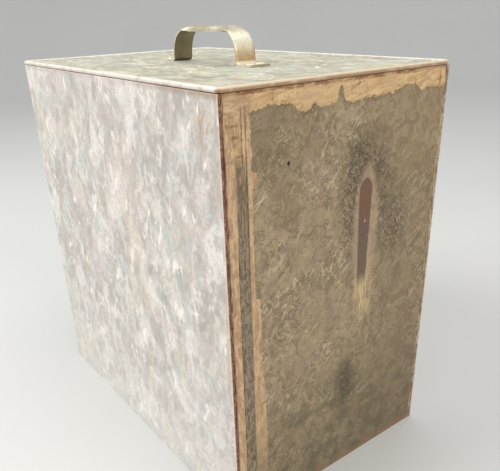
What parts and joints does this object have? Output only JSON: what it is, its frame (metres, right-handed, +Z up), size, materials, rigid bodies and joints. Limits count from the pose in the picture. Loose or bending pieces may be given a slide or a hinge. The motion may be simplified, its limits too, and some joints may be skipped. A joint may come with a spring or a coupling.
{
  "type": "icebox",
  "caption": "Upright insulated icebox of galvanised sheet with a lift-off lid, strap handle, lift-out food tray, ice rack and drain.",
  "frame": {"origin": "middle of the base, on the surface the box stands on", "axes": "+Z up out of the lid, X along the wide side, -Y out of the wide front, +X out of the painted narrow end"},
  "size_m": [0.4285, 0.259, 0.44],
  "materials": {
    "galvanised_case": "weathered galvanised sheet with spangle",
    "galvanised_end": "dulled galvanised sheet with old tan paint at its borders",
    "galvanised_lid": "weathered galvanised sheet, streaked",
    "galvanised_liner": "galvanised sheet, cleaner",
    "solder": "soldered seam with rust",
    "handle_steel": "worn plated strap",
    "fastener_steel": "tarnished steel",
    "wire": "tinned wire",
    "brass": "tarnished brass tube",
    "cork": "pressed cork board",
    "pine": "bare pine",
    "rack_wood": "bare weathered ash",
    "felt": "grey felt",
    "felt_gasket": "pressed wool felt",
    "rubber": "aged red-brown rubber"
  },
  "bodies": {
    "case": {"side_wrap": "galvanised_case", "end_panel": "galvanised_end", "solder_seams": "solder", "base_pan": "galvanised_case", "felt_strip": "felt", "cork_bottom": "cork", "cork_front": "cork", "cork_back": "cork", "cork_left_end": "cork", "cork_right_end": "cork", "breaker_front": "pine", "breaker_back": "pine", "breaker_left": "pine", "breaker_right": "pine", "liner": "galvanised_liner", "rim_tacks": "fastener_steel", "tray_ledge_front": "galvanised_liner", "tray_ledge_back": "galvanised_liner", "drain_tube": "brass", "drain_flange_outer": "galvanised_liner", "drain_flange_inner": "galvanised_liner"},
    "lid": {"lid_sheet": "galvanised_lid", "lid_pan": "galvanised_liner", "lid_cork": "cork", "lid_gasket": "felt_gasket", "lid_handle": "handle_steel", "backing_plate_left": "galvanised_liner", "backing_plate_right": "galvanised_liner", "handle_rivets": "fastener_steel"},
    "tray": {"food_tray": "galvanised_liner", "tray_ears": "galvanised_liner"},
    "bail_left": {"bail_left": "wire"},
    "bail_right": {"bail_right": "wire"},
    "ice_rack": {"rack_slat_1": "rack_wood", "rack_slat_2": "rack_wood", "rack_slat_3": "rack_wood", "rack_slat_4": "rack_wood", "rack_slat_5": "rack_wood", "rack_batten_left": "rack_wood", "rack_batten_middle": "rack_wood", "rack_batten_right": "rack_wood", "rack_nails": "fastener_steel"},
    "stopper": {"drain_stopper": "rubber"}
  },
  "joints": [
    {"name": "lid_lift", "type": "slide", "parent": "case", "child": "lid", "axis": [0, 0, 1], "range_m": [0, 0.15]},
    {"name": "tray_lift", "type": "slide", "parent": "case", "child": "tray", "axis": [0, 0, 1], "range_m": [0, 0.03]},
    {"name": "bail_left_swing", "type": "hinge", "parent": "tray", "child": "bail_left", "pos_m": [-0.166, 0, 0.3], "axis": [0, -1, 0], "range_deg": [0, 175]},
    {"name": "bail_right_swing", "type": "hinge", "parent": "tray", "child": "bail_right", "pos_m": [0.166, 0, 0.3], "axis": [0, 1, 0], "range_deg": [0, 175]},
    {"name": "rack_lift", "type": "slide", "parent": "case", "child": "ice_rack", "axis": [0, 0, 1], "range_m": [0, 0.18]},
    {"name": "stopper_pull", "type": "slide", "parent": "case", "child": "stopper", "axis": [-1, 0, 0], "range_m": [0, 0.025]}
  ]
}
